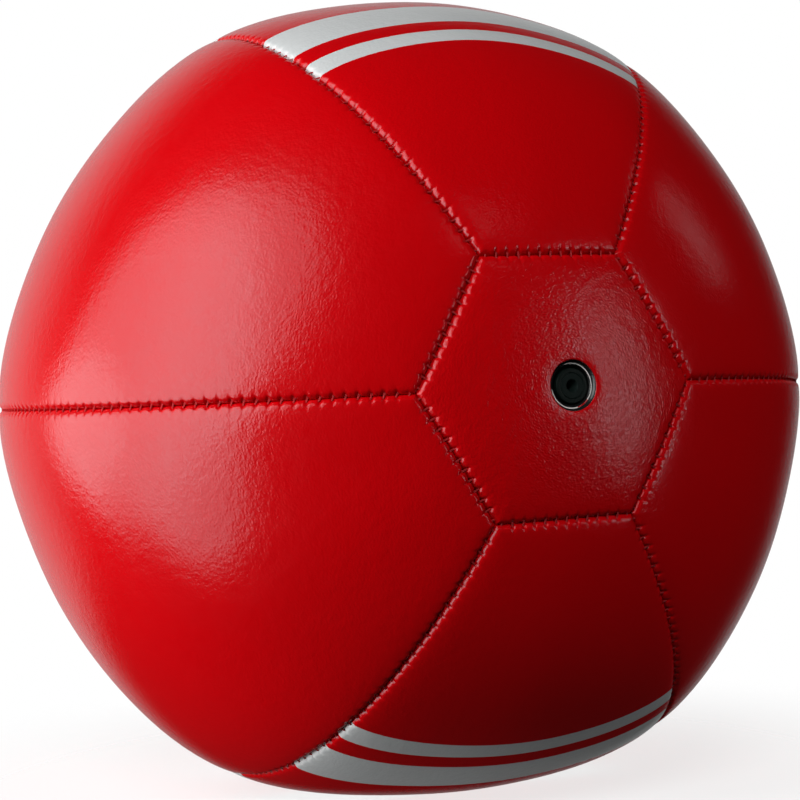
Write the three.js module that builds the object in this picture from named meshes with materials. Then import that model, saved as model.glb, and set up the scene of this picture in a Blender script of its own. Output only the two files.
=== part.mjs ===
// Six-sided reflex ball, in millimetres.
// A stitched cover of two six-cornered end panels and six side panels lies over a cloth lining
// and an air bladder, with a needle valve in the front end panel. The side seams stand out a
// little as six soft corners, and the panels between them are flatter, so the ball bounces askew.
// Everything is built round the ball's own axis, local +Z through the valve, and the finished
// ball is then laid level: the valve faces -Y and the first side panel lies on top.
import * as THREE from "three";
import { mergeVertices } from "three/addons/utils/BufferGeometryUtils.js";

// Outside shape
const sideCount = 6;
const acrossSeams = 223.5; // over two opposite side seams, at the waist
const acrossFlats = 217.7; // over two opposite side panels, at the waist
const poleToPole = 190; // from the valve panel to the back panel
const shoulderSwell = 3.1; // fullness of the shoulder between waist and end panel
const endPanelCorner = 35.4; // from the axis to a corner of an end panel

// Cover panels, with their edges turned in to be sewn
const coverThickness = 1.8;
const edgeRoll = 2; // outer radius of the turned edge
const seamAllowance = 3.6; // depth of the turned-in edge under the outer surface
const seamGap = 0.8; // between two turned-in edges that face each other

// What lies under the cover
const liningThickness = 1;
const bladderWall = 0.7;
const fitGap = 0.3; // clearance between neighbouring pieces

// Sewing thread, one crossing of the seam for each stitch
const threadDiameter = 0.6;
const threadDepth = 0.6; // of its middle, under the outer surface
const stitchPitch = 3;
const cornerTrim = 1.8; // where a thread ends, short of a corner

// Needle valve
const valveCollar = 8.2; // diameter of the collar that shows in the panel's hole
const valveHoleGap = 1.4; // between the collar and the panel round it
const valveRecess = 1.1; // of the collar's face, under the panel's crown
const valveOffset = 2; // of the valve from the panel's middle, along local +X
const collarChamfer = 0.5;
const valveFlange = 28; // diameter of the flange on the bladder
const flangeThickness = 0.8;
const barrelDiameter = 7.6;
const barrelLength = 12; // inside the bladder
const coreHead = 5.4; // diameter of the soft core's head
const headThickness = 1.2;
const coreShank = 4.2; // diameter
const coreTip = 2.8; // diameter of the core's tapered end
const tipLength = 3; // of the taper, past the end of the barrel
const needleMouth = 3.1; // diameter of the funnel that guides the needle
const needleChannel = 1.6; // diameter
const funnelDepth = 1.1;
const channelDepth = 9;

// Facet counts
const acrossFacets = 6; // over one side panel, from seam to seam
const alongFacets = 14; // over one side panel, from end panel to end panel
const edgeFacets = 4; // along one edge of an end panel
const crownRings = 2; // from an end panel's middle to its edge
const bladderFacets = 20; // round the waist
const bladderRings = 11; // from the valve flange to the back
const threadSides = 3;
const latheFacets = 20;
const rollFacets = 2; // round the turned edge of a panel

// Numerical steps
const slopeStep = 1e-4; // angle over which the outer surface's slope is taken
const halvings = 50; // of the range in which an angle is looked up
const settlings = 4; // of a panel point's two angles, which depend on each other
const weldDistance = 1e-3; // points closer than this are one

// Worked out from the dimensions above
const sector = (2 * Math.PI) / sideCount;
const topAngle = Math.PI / 2;
const seamRadius = acrossSeams / 2;
const flatRadius = acrossFlats / 2;
const meanRadius = (seamRadius + flatRadius) / 2;
const cornerLift = (seamRadius - flatRadius) / 2;
const poleHeight = poleToPole / 2;
const endPanelApothem = endPanelCorner * Math.cos(sector / 2);
const collarRadius = valveCollar / 2;
const valveHole = collarRadius + valveHoleGap; // radius
const liningDepth = coverThickness + fitGap;
const liningBottom = liningDepth + liningThickness;
const facetStep = Math.hypot(sector / acrossFacets, Math.PI / alongFacets);
const facetSag = seamRadius * (1 - Math.cos(facetStep / 2)); // of a flat facet under the true curve
const bladderDepth =
  fitGap + Math.max(seamAllowance + facetSag, liningBottom + facetSag, liningBottom + fitGap + flangeThickness);

// The outer surface: theta runs from the valve's pole to the back, phi goes round the axis.
function outerPoint(theta, phi) {
  const swell = 1 + (shoulderSwell / meanRadius) * Math.sin(2 * theta) ** 2;
  const corner = -Math.cos(sideCount * (phi - topAngle)); // 1 on a side seam, -1 mid-panel
  const waist = meanRadius + cornerLift * corner * Math.sin(theta) ** 2;
  const radius = swell * waist * Math.sin(theta);
  return new THREE.Vector3(
    radius * Math.cos(phi),
    radius * Math.sin(phi),
    swell * poleHeight * Math.cos(theta),
  );
}

function radiusAt(theta, phi) {
  const point = outerPoint(theta, phi);
  return Math.hypot(point.x, point.y);
}

function outwardNormal(theta, phi) {
  if (Math.sin(theta) < slopeStep) return new THREE.Vector3(0, 0, Math.sign(Math.cos(theta)));
  const alongTheta = outerPoint(theta + slopeStep, phi).sub(outerPoint(theta - slopeStep, phi));
  const alongPhi = outerPoint(theta, phi + slopeStep).sub(outerPoint(theta, phi - slopeStep));
  return alongTheta.cross(alongPhi).normalize();
}

function layerPoint(theta, phi, depth) {
  return outerPoint(theta, phi).addScaledVector(outwardNormal(theta, phi), -depth);
}

// The angle theta, on the valve's half, at which the outer surface has this radius round the axis.
function thetaAt(radius, phi) {
  let low = 0;
  let high = Math.PI / 2;
  for (let i = 0; i < halvings; i += 1) {
    const middle = (low + high) / 2;
    if (radiusAt(middle, phi) < radius) low = middle;
    else high = middle;
  }
  return (low + high) / 2;
}

// A point of a layer on the valve's half, at a place beside the ball's axis.
function frontPoint(x, y, depth) {
  const phi = Math.atan2(y, x);
  return layerPoint(thetaAt(Math.hypot(x, y), phi), phi, depth);
}

// A closed solid gathered from strips between loops of points. A loop runs anticlockwise as seen
// from outside, and the next loop of a strip lies to its right.
class Shell {
  constructor() {
    this.corners = [];
  }

  triangle(a, b, c) {
    this.corners.push(...a.toArray(), ...b.toArray(), ...c.toArray());
  }

  quad(a, b, c, d) {
    this.triangle(a, b, c);
    this.triangle(a, c, d);
  }

  strip(loop, next) {
    loop.forEach((point, i) => {
      const j = (i + 1) % loop.length;
      this.quad(point, next[i], next[j], loop[j]);
    });
  }

  strips(loops) {
    for (let i = 1; i < loops.length; i += 1) this.strip(loops[i - 1], loops[i]);
  }

  fanFrom(middle, loop) {
    loop.forEach((point, i) => this.triangle(middle, point, loop[(i + 1) % loop.length]));
  }

  fanTo(loop, middle) {
    loop.forEach((point, i) => this.triangle(point, middle, loop[(i + 1) % loop.length]));
  }

  geometry() {
    const loose = new THREE.BufferGeometry();
    loose.setAttribute("position", new THREE.Float32BufferAttribute(this.corners, 3));
    const merged = mergeVertices(loose, weldDistance);
    merged.computeVertexNormals();
    return merged;
  }
}

// The turned edge of a panel, from its flat top over the roll and down to its lower rim,
// then up its inner wall: how far each loop lies in from the seam, and how deep.
function turnedEdge() {
  const loops = [];
  for (let i = 0; i <= rollFacets; i += 1) {
    const angle = (i / rollFacets) * (Math.PI / 2);
    loops.push({
      inset: seamGap / 2 + edgeRoll * (1 - Math.sin(angle)),
      depth: edgeRoll * (1 - Math.cos(angle)),
    });
  }
  loops.push({ inset: seamGap / 2, depth: seamAllowance });
  loops.push({ inset: seamGap / 2 + coverThickness, depth: seamAllowance });
  loops.push({ inset: seamGap / 2 + coverThickness, depth: coverThickness });
  return loops;
}

const liningEdge = [
  { inset: seamGap / 2 + coverThickness + fitGap, depth: liningDepth },
  { inset: seamGap / 2 + coverThickness + fitGap, depth: liningBottom },
];

// Half the width of the groove between two turned edges, at a depth.
function grooveHalfWidth(depth) {
  const rise = Math.max(edgeRoll - depth, 0);
  return seamGap / 2 + edgeRoll - Math.sqrt(edgeRoll ** 2 - rise ** 2);
}

// Side panels: u runs from seam to seam and v from the valve's end to the back, both from -1 to 1.
function sidePoint(u, v, { inset, depth }) {
  let phi = topAngle + (u * sector) / 2;
  let theta = Math.PI / 2;
  for (let i = 0; i < settlings; i += 1) {
    const first = thetaAt((endPanelApothem + inset) / Math.cos(phi - topAngle), phi);
    theta = Math.PI / 2 + v * (Math.PI / 2 - first);
    phi = topAngle + u * (sector / 2 - Math.asin(inset / radiusAt(theta, phi)));
  }
  return layerPoint(theta, phi, depth);
}

function sideLoop(edge) {
  const loop = [];
  const u = (i) => (2 * i) / acrossFacets - 1;
  const v = (j) => (2 * j) / alongFacets - 1;
  for (let j = 0; j < alongFacets; j += 1) loop.push(sidePoint(-1, v(j), edge));
  for (let i = 0; i < acrossFacets; i += 1) loop.push(sidePoint(u(i), 1, edge));
  for (let j = alongFacets; j > 0; j -= 1) loop.push(sidePoint(1, v(j), edge));
  for (let i = acrossFacets; i > 0; i -= 1) loop.push(sidePoint(u(i), -1, edge));
  return loop;
}

function addSideGrid(shell, edge, facingOut) {
  const at = (i, j) => sidePoint((2 * i) / acrossFacets - 1, (2 * j) / alongFacets - 1, edge);
  for (let i = 0; i < acrossFacets; i += 1) {
    for (let j = 0; j < alongFacets; j += 1) {
      const corners = [at(i, j), at(i, j + 1), at(i + 1, j + 1), at(i + 1, j)];
      if (!facingOut) corners.reverse();
      shell.quad(...corners);
    }
  }
}

function sideSheet(edges) {
  const shell = new Shell();
  addSideGrid(shell, edges[0], true);
  shell.strips(edges.map(sideLoop));
  addSideGrid(shell, edges[edges.length - 1], false);
  return shell.geometry();
}

// End panels: a loop at a share of the way from the valve's hole, or else the middle, to the edge.
function endLoop(share, hole, { inset, depth }) {
  const loop = [];
  for (let k = 0; k < sideCount * edgeFacets; k += 1) {
    const side = Math.floor(k / edgeFacets);
    const along = ((k % edgeFacets) / edgeFacets - 0.5) * 2 * Math.tan(sector / 2);
    const turn = Math.atan(along);
    const edge = (endPanelApothem - inset) / Math.cos(turn);
    const phi = topAngle + side * sector + turn;
    const reach = hole + share * (edge - hole);
    const aside = hole > 0 ? (1 - share) * valveOffset : 0;
    loop.push(frontPoint(aside + reach * Math.cos(phi), reach * Math.sin(phi), depth));
  }
  return loop;
}

function endSheet(edges, hole) {
  const shell = new Shell();
  const last = edges[edges.length - 1];
  const loops = [];
  const firstRing = hole > 0 ? 0 : 1;
  for (let i = firstRing; i < crownRings; i += 1) loops.push(endLoop(i / crownRings, hole, edges[0]));
  edges.forEach((edge) => loops.push(endLoop(1, hole, edge)));
  for (let i = crownRings - 1; i >= firstRing; i -= 1) loops.push(endLoop(i / crownRings, hole, last));
  shell.strips(loops);
  if (hole > 0) {
    shell.strip(loops[loops.length - 1], loops[0]);
  } else {
    shell.fanFrom(layerPoint(0, 0, edges[0].depth), loops[0]);
    shell.fanTo(loops[loops.length - 1], layerPoint(0, 0, last.depth));
  }
  return shell.geometry();
}

// The bladder: a closed bag apart from the hole that the valve's barrel fills.
function bladderGeometry() {
  const shell = new Shell();
  const hole = barrelDiameter / 2 + fitGap;
  const loopOf = (pointAt) => {
    const loop = [];
    for (let k = 0; k < bladderFacets; k += 1) loop.push(pointAt(topAngle + (k * 2 * Math.PI) / bladderFacets));
    return loop;
  };
  const flangeTheta = thetaAt(valveFlange / 2, topAngle);
  const loopsAt = (depth) => {
    const loops = [
      loopOf((phi) => frontPoint(valveOffset + hole * Math.cos(phi), hole * Math.sin(phi), depth)),
    ];
    for (let i = 0; i < bladderRings; i += 1) {
      const theta = flangeTheta + ((Math.PI - flangeTheta) * i) / bladderRings;
      loops.push(loopOf((phi) => layerPoint(theta, phi, depth)));
    }
    return loops;
  };
  const innerDepth = bladderDepth + bladderWall;
  const outside = loopsAt(bladderDepth);
  const inside = loopsAt(innerDepth).reverse();
  shell.strips(outside);
  shell.fanTo(outside[outside.length - 1], layerPoint(Math.PI, 0, bladderDepth));
  shell.fanFrom(layerPoint(Math.PI, 0, innerDepth), inside[0]);
  shell.strips(inside);
  shell.strip(inside[inside.length - 1], outside[0]);
  return shell.geometry();
}

// A seam's line on the outer surface, as theta and phi for a share t of its way.
class SeamLine extends THREE.Curve {
  constructor(anglesAt) {
    super();
    this.anglesAt = anglesAt;
  }

  getPoint(t) {
    return outerPoint(...this.anglesAt(t));
  }
}

function sideSeam() {
  const phi = topAngle + sector / 2;
  const first = thetaAt(endPanelCorner, phi);
  return new SeamLine((t) => [first + t * (Math.PI - 2 * first), phi]);
}

function endSeam() {
  return new SeamLine((t) => {
    const along = (2 * t - 1) * Math.tan(sector / 2);
    const phi = topAngle + Math.atan(along);
    return [thetaAt(endPanelApothem * Math.hypot(1, along), phi), phi];
  });
}

// The thread in a seam's groove, which swings from one turned edge to the other at each stitch.
function threadGeometry(seam) {
  const shell = new Shell();
  const swing = grooveHalfWidth(threadDepth) - threadDiameter / 2 - fitGap;
  const length = seam.getLength();
  const run = length - 2 * cornerTrim;
  const stitches = Math.round(run / stitchPitch);
  const loops = [];
  for (let i = 0; i <= stitches; i += 1) {
    const share = (cornerTrim + (run * i) / stitches) / length;
    const angles = seam.anglesAt(seam.getUtoTmapping(share));
    const up = outwardNormal(...angles);
    const right = seam.getTangentAt(share).cross(up).normalize();
    const middle = layerPoint(...angles, threadDepth).addScaledVector(right, i % 2 ? swing : -swing);
    const loop = [];
    for (let k = 0; k < threadSides; k += 1) {
      const angle = Math.PI / 2 + (2 * Math.PI * k) / threadSides;
      loop.push(
        middle
          .clone()
          .addScaledVector(right, (threadDiameter / 2) * Math.cos(angle))
          .addScaledVector(up, (threadDiameter / 2) * Math.sin(angle)),
      );
    }
    loops.push({ loop, middle });
  }
  const last = loops[loops.length - 1];
  shell.fanFrom(loops[0].middle, loops[0].loop);
  for (let i = 1; i < loops.length; i += 1) shell.strip(loops[i - 1].loop, loops[i].loop);
  shell.fanTo(last.loop, last.middle);
  return shell.geometry();
}

// A turned piece round the ball's axis, from a profile of radius and height.
function turned(profile) {
  const points = profile.map(([radius, height]) => new THREE.Vector2(radius, height));
  return new THREE.LatheGeometry(points, latheFacets).rotateX(Math.PI / 2);
}

// Height of a layer of the end panel over the ball's middle, at a radius round the axis.
function crownHeight(radius, depth) {
  return layerPoint(thetaAt(radius, topAngle), topAngle, depth).z;
}

const valveFace = poleHeight - valveRecess;
const headSeat = valveFace - headThickness - fitGap;
const barrelEnd = crownHeight(collarRadius, bladderDepth) - barrelLength;

function valveBodyGeometry() {
  const bore = coreShank / 2 + fitGap;
  const headBore = coreHead / 2 + fitGap;
  const flangeRadius = valveFlange / 2;
  const barrelRadius = barrelDiameter / 2;
  const flangeTop = liningBottom + fitGap;
  const flangeUnder = flangeTop + flangeThickness;
  return turned([
    [bore, barrelEnd],
    [barrelRadius, barrelEnd],
    [barrelRadius, crownHeight(barrelRadius, flangeUnder)],
    [flangeRadius, crownHeight(flangeRadius, flangeUnder)],
    [flangeRadius, crownHeight(flangeRadius, flangeTop)],
    [collarRadius, crownHeight(collarRadius, flangeTop)],
    [collarRadius, valveFace - collarChamfer],
    [collarRadius - collarChamfer, valveFace],
    [headBore, valveFace],
    [headBore, headSeat],
    [bore, headSeat],
    [bore, barrelEnd],
  ]);
}

function valveCoreGeometry() {
  const tip = barrelEnd - tipLength;
  const underHead = headSeat + fitGap;
  return turned([
    [0, tip],
    [coreTip / 2, tip],
    [coreShank / 2, barrelEnd],
    [coreShank / 2, underHead],
    [coreHead / 2, underHead],
    [coreHead / 2, valveFace],
    [needleMouth / 2, valveFace],
    [needleChannel / 2, valveFace - funnelDepth],
    [needleChannel / 2, valveFace - channelDepth],
    [0, valveFace - channelDepth],
  ]);
}

// Materials
const coverLeather = () => new THREE.MeshStandardMaterial({ color: 0xb80d12, roughness: 0.35, metalness: 0 });
const liningCloth = () => new THREE.MeshStandardMaterial({ color: 0xd8d2c2, roughness: 0.9, metalness: 0 });
const seamThread = () => new THREE.MeshStandardMaterial({ color: 0x8c1418, roughness: 0.7, metalness: 0 });
const bladderRubber = () => new THREE.MeshStandardMaterial({ color: 0x2a2a2c, roughness: 0.6, metalness: 0 });
const valveRubber = () => new THREE.MeshStandardMaterial({ color: 0x161817, roughness: 0.45, metalness: 0 });

const ball = new THREE.Group();

function add(parent, name, geometry, material) {
  const mesh = new THREE.Mesh(geometry, material);
  mesh.name = name;
  parent.add(mesh);
  return mesh;
}

const sidePanel = sideSheet(turnedEdge());
const sideLining = sideSheet(liningEdge);
const sideThread = threadGeometry(sideSeam());
const endThread = threadGeometry(endSeam());

// The back end faces the other way: the front end's pieces turned over, without the valve's holes.
const front = new THREE.Group();
const back = new THREE.Group();
back.rotation.x = Math.PI;
ball.add(front, back);

add(front, "valve_panel", endSheet(turnedEdge(), valveHole), coverLeather());
add(front, "valve_panel_lining", endSheet(liningEdge, valveHole), liningCloth());
add(back, "back_panel", endSheet(turnedEdge(), 0), coverLeather());
add(back, "back_panel_lining", endSheet(liningEdge, 0), liningCloth());

for (let k = 0; k < sideCount; k += 1) {
  const place = k + 1;
  const round = k * sector;
  add(ball, `side_panel_${place}`, sidePanel, coverLeather()).rotation.z = round;
  add(ball, `side_lining_${place}`, sideLining, liningCloth()).rotation.z = round;
  add(ball, `side_thread_${place}`, sideThread, seamThread()).rotation.z = round;
  add(front, `valve_panel_thread_${place}`, endThread, seamThread()).rotation.z = round;
  add(back, `back_panel_thread_${place}`, endThread, seamThread()).rotation.z = round;
}

add(ball, "bladder", bladderGeometry(), bladderRubber());

// The valve's pieces are turned on the ball's axis, and then swung aside round the middle of the
// end panel's curve, so that the flange still lies flat under the panel.
const crownSag = poleHeight - crownHeight(valveFlange / 2, 0);
const crownRadius = ((valveFlange / 2) ** 2 + crownSag ** 2) / (2 * crownSag);
const valve = new THREE.Group();
valve.position.z = poleHeight - crownRadius;
valve.rotation.y = Math.asin(valveOffset / crownRadius);
front.add(valve);
add(valve, "valve_body", valveBodyGeometry(), valveRubber()).position.z = -valve.position.z;
add(valve, "valve_core", valveCoreGeometry(), valveRubber()).position.z = -valve.position.z;

ball.rotation.x = Math.PI / 2;

export default ball;
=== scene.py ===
import math

import bpy
import numpy as np
from mathutils import Matrix, Vector


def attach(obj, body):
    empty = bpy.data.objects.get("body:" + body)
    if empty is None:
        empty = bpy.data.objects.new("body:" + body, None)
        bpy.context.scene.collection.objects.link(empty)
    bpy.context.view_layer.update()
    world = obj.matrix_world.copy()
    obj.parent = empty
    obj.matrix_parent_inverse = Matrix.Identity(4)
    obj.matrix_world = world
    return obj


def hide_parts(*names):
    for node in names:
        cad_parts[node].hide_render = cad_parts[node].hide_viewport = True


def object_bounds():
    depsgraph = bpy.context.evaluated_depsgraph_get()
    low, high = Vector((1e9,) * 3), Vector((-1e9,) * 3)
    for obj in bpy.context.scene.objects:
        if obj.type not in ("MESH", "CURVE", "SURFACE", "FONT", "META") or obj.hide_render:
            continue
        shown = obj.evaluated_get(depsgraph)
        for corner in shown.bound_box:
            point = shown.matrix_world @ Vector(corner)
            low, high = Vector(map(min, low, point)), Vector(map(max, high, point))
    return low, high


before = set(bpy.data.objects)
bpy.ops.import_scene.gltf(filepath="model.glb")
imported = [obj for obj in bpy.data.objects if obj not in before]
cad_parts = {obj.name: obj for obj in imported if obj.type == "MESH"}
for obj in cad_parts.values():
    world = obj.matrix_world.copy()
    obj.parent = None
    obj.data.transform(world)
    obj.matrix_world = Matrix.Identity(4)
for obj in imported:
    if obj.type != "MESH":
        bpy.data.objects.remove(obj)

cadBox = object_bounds()
mm = 0.001
sides = 6
sector = 2 * math.pi / sides
topAngle = math.pi / 2
print("frame loaded:", len(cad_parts), "nodes")


# The ball's outer surface. Theta runs from the valve's pole to the back, phi goes round the axis,
# and the axis lies along -Y with the first side panel on top.

ball = {
    "poleHeight": cadBox[1].y,        # from the middle to either end panel
    "flatRadius": cadBox[1].z,        # at the waist, in the middle of a side panel
    "seamLift": 2.9 * mm,             # a side seam stands out this much more
    "shoulderSwell": 3.1 * mm,        # fullness between waist and end panel
    "endCorner": 35.4 * mm,           # from the axis to a corner of an end panel
    "twist": math.radians(1.8),       # the sewn cover sits a little askew
    "lobes": (                        # unevenness of a sewn waist: count round, cosine, sine
        (2, 0.11 * mm, 0.13 * mm),
        (3, 0.51 * mm, -0.34 * mm),
        (4, -0.65 * mm, 0.18 * mm),
        (5, 0.42 * mm, -0.20 * mm),
        (12, 0.23 * mm, 0.0),
    ),
}
meanRadius = ball["flatRadius"] + ball["seamLift"] / 2
endApothem = ball["endCorner"] * math.cos(sector / 2)
slopeStep = 1e-4
angleRounds = 6                       # rounds that settle an angle


def coverPoint(theta, phi):
    around = phi - topAngle
    waist = np.sin(theta) ** 2
    swell = 1 + ball["shoulderSwell"] / meanRadius * np.sin(2 * theta) ** 2
    lift = -ball["seamLift"] / 2 * np.cos(sides * around)
    lobe = sum(c * np.cos(n * around) + s * np.sin(n * around) for n, c, s in ball["lobes"])
    radius = swell * (meanRadius + waist * (lift + lobe)) * np.sin(theta)
    height = swell * ball["poleHeight"] * np.cos(theta) * (1 + waist * lobe / meanRadius)
    twisted = phi + ball["twist"] * np.cos(theta)
    return np.stack([radius * np.cos(twisted), -height, radius * np.sin(twisted)], -1)


def outward(theta, phi):
    theta = np.clip(theta, 2 * slopeStep, math.pi - 2 * slopeStep)
    down = coverPoint(theta + slopeStep, phi) - coverPoint(theta - slopeStep, phi)
    across = coverPoint(theta, phi + slopeStep) - coverPoint(theta, phi - slopeStep)
    normal = np.cross(down, across)
    return normal / np.linalg.norm(normal, axis=-1, keepdims=True)


def radiusAt(theta, phi):
    point = coverPoint(theta, phi)
    return np.hypot(point[..., 0], point[..., 2])


def thetaAt(radius, phi):             # on the valve's half
    theta = np.arcsin(radius / meanRadius)
    for _ in range(angleRounds):
        theta = theta + (radius - radiusAt(theta, phi)) / (meanRadius * np.cos(theta))
    return theta


def besideAxis(x, z):                 # theta and phi of a place on the valve's half
    phi = np.arctan2(z, x)
    return thetaAt(np.hypot(x, z), phi), phi


# Seams, as lengths along the outer surface, so that both panels and the thread count alike

seam = {
    "sideStitches": 90,
    "endStitches": 13,
    "cornerFree": 1.4 * mm,           # no stitch pulls closer to a corner than this
    "fade": 1.5 * mm,                 # over which the pull grows from nothing
    "samples": 400,
}


def sideSeamAngles(place):            # the seam after side panel number place
    phi = topAngle + (place + 0.5) * sector
    first = float(thetaAt(np.array(ball["endCorner"]), np.array(phi)))
    return np.linspace(first, math.pi - first, seam["samples"]), phi


def sideSeamLength(place, theta):     # how far along the seam, and the seam's whole length
    thetas, phi = sideSeamAngles(place)
    points = coverPoint(thetas, np.full_like(thetas, phi))
    steps = np.linalg.norm(np.diff(points, axis=0), axis=1)
    along = np.concatenate([[0], np.cumsum(steps)])
    return np.interp(theta, thetas, along), along[-1]


def stitching(along, whole, stitches):     # counts the stitches, and fades their pull at both ends
    spare = np.minimum(along, whole - along) - seam["cornerFree"]
    return along / whole * stitches - 0.5, np.clip(spare / seam["fade"], 0, 1)


# A closed net of faces over points that keep their angles, depth and place beside the seam,
# and a mask for the hole's cut: its raw edge, painted glints and painted shade

class Net:
    def __init__(self):
        self.theta, self.phi, self.depth = [], [], []
        self.inset, self.stitch, self.pull, self.bareAndPaintedLight = [], [], [], []
        self.faces = []
        self.size = 0

    def add(self, theta, phi, depth, inset, stitch=0.0, pull=0.0, bareAndPaintedLight=0.0):
        theta = np.atleast_1d(theta)
        lists = (self.theta, self.phi, self.depth, self.inset, self.stitch, self.pull, self.bareAndPaintedLight)
        for values, value in zip(lists, (theta, phi, depth, inset, stitch, pull, bareAndPaintedLight)):
            values.append(np.broadcast_to(value, theta.shape).astype(float))
        first = self.size
        self.size += len(theta)
        return np.arange(first, self.size)

    def strip(self, loop, following):
        quads = [loop, following, np.roll(following, -1), np.roll(loop, -1)]
        self.faces += np.stack(quads, -1).tolist()

    def spread(self, coarse, fine, flip=False):    # one many-sided face for each coarse step
        share = len(fine) // len(coarse)
        for i in range(len(coarse)):
            run = [fine[(i * share + k) % len(fine)] for k in range(share + 1)]
            face = [int(v) for v in (coarse[i], *run, coarse[(i + 1) % len(coarse)])]
            self.faces.append(face[::-1] if flip else face)

    def grid(self, rows, flip=False):     # rows of equal length
        for row, following in zip(rows, rows[1:]):
            quads = np.stack([row[:-1], row[1:], following[1:], following[:-1]], -1)
            self.faces += (quads[:, ::-1] if flip else quads).tolist()

    def fan(self, middle, loop, flip=False):
        ahead = np.roll(loop, -1)
        pairs = zip(ahead, loop) if flip else zip(loop, ahead)
        self.faces += [[int(middle), int(a), int(b)] for a, b in pairs]

    def make(self, name):
        theta, phi = np.concatenate(self.theta), np.concatenate(self.phi)
        normal = outward(theta, phi)
        points = coverPoint(theta, phi) - normal * np.concatenate(self.depth)[:, None]
        mesh = bpy.data.meshes.new(name)
        mesh.from_pydata(points.tolist(), [], self.faces)
        for label in ("inset", "stitch", "pull", "bareAndPaintedLight"):
            layer = mesh.attributes.new(label, "FLOAT", "POINT")
            layer.data.foreach_set("value", np.concatenate(getattr(self, label)).astype(np.float32))
        layer = mesh.attributes.new("outward", "FLOAT_VECTOR", "POINT")
        layer.data.foreach_set("vector", normal.astype(np.float32).ravel())
        corner = np.empty(len(mesh.loops), np.int32)
        mesh.loops.foreach_get("vertex_index", corner)
        around = (phi - topAngle + sector / 2) % sector - sector / 2
        flat = np.stack([around * meanRadius, (math.pi / 2 - theta) * meanRadius], -1)
        layer = mesh.uv_layers.new(name="hide")     # metres across and along the panel, from the waist
        layer.data.foreach_set("uv", flat[corner].astype(np.float32).ravel())
        return newPiece(name, mesh)


def newPiece(name, mesh):
    mesh.polygons.foreach_set("use_smooth", np.ones(len(mesh.polygons), bool))
    mesh.update()
    piece = bpy.data.objects.new(name, mesh)
    bpy.context.scene.collection.objects.link(piece)
    return piece


# Cover panels: a wide net over the middle, a fine one along the turned-in edges

panel = {
    "gap": 0.08 * mm,                 # between two edges that face each other
    "roll": 1.5 * mm,                 # radius of the turned edge
    "rollEnd": math.radians(70),      # where the two edges meet
    "hem": 3.6 * mm,                  # how deep the edge is turned in
    "thickness": 1.8 * mm,
    "border": 7.0 * mm,               # width of the fine net
    "borderSteps": 9,
    "crowding": 0.8,                  # of these steps, towards the seam
    "rollSteps": 7,
    "join": 2.0 * mm,                 # width of the row between both nets
    "across": 28,                     # wide steps from seam to seam
    "along": 112,                     # wide steps from end panel to end panel
    "edgeSteps": 14,                  # wide steps along one edge of an end panel
    "rings": 16,                      # from an end panel's middle to its border
    "share": 10,                      # fine steps in a wide one
    "settlings": 4,                   # rounds that fit the net between its seams
}


def edgeProfile():                    # inset from the seam and depth, from the border to the inner wall
    half = panel["gap"] / 2
    reach = math.sin(panel["rollEnd"])
    crest = half + panel["roll"] * reach
    shares = np.linspace(0, 1, panel["borderSteps"], endpoint=False) ** panel["crowding"]
    profile = [(panel["border"] + share * (crest - panel["border"]), 0.0) for share in shares]
    for angle in np.linspace(0, panel["rollEnd"], panel["rollSteps"] + 1):
        inset = half + panel["roll"] * (reach - math.sin(angle))
        profile.append((inset, panel["roll"] * (1 - math.cos(angle))))
    inner = half + panel["thickness"]
    return profile + [(half, panel["hem"]), (inner, panel["hem"]), (inner, panel["thickness"])]


def sideAngles(u, v, inset, place):   # u from seam to seam, v from the valve's end to the back
    middle = topAngle + place * sector
    phi = middle + u * sector / 2
    theta = np.full_like(phi, math.pi / 2)
    for _ in range(panel["settlings"]):
        first = thetaAt((endApothem + inset) / np.cos(phi - middle), phi)
        theta = math.pi / 2 + v * (math.pi / 2 - first)
        phi = middle + u * (sector / 2 - np.arcsin(inset / radiusAt(theta, phi)))
    return theta, phi


def sideRound(across, along):         # u and v once round the panel's edge, and which edge it is
    run = np.arange(along) / along * 2 - 1
    walk = np.arange(across) / across * 2 - 1
    u = np.concatenate([np.full(along, -1.0), walk, np.full(along, 1.0), -walk])
    v = np.concatenate([run, np.full(across, 1.0), -run, np.full(across, -1.0)])
    return u, v, np.repeat([0, 1, 2, 3], [along, across, along, across])


def sideStitching(theta, phi, edge, place):
    count, pull = np.zeros_like(theta), np.zeros_like(theta)
    for side, seamPlace in ((0, place - 1), (2, place)):
        here = edge == side
        along, whole = sideSeamLength(seamPlace, theta[here])
        count[here], pull[here] = stitching(along, whole, seam["sideStitches"])
    here = (edge == 1) | (edge == 3)
    turn = phi[here] - topAngle - place * sector
    along = radiusAt(theta[here], phi[here]) * np.sin(turn) + ball["endCorner"] / 2
    count[here], pull[here] = stitching(along, ball["endCorner"], seam["endStitches"])
    return count, pull


def sideNet(place, profile, across, along, share):
    net = Net()
    wideU, wideV = (np.arange(count + 1) / count * 2 - 1 for count in (across, along))
    u, v, edge = sideRound(across * share, along * share)
    loops = []
    for inset, depth in profile:
        theta, phi = sideAngles(u, v, inset, place)
        loops.append(net.add(theta, phi, depth, inset, *sideStitching(theta, phi, edge, place)))
    for loop, following in zip(loops, loops[1:]):
        net.strip(loop, following)
    for (inset, depth), loop, flip in ((profile[0], loops[0], False), (profile[-1], loops[-1], True)):
        inset = inset + panel["join"]
        spots = np.meshgrid(wideU, wideV, indexing="ij")
        theta, phi = sideAngles(spots[0].ravel(), spots[1].ravel(), inset, place)
        wall = net.add(theta, phi, depth, inset).reshape(across + 1, along + 1)
        net.grid(list(wall), flip)
        rim = np.concatenate([wall[0, :-1], wall[:-1, -1], wall[-1, :0:-1], wall[:0:-1, 0]])
        net.spread(rim, loop, flip)
    return net


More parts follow.
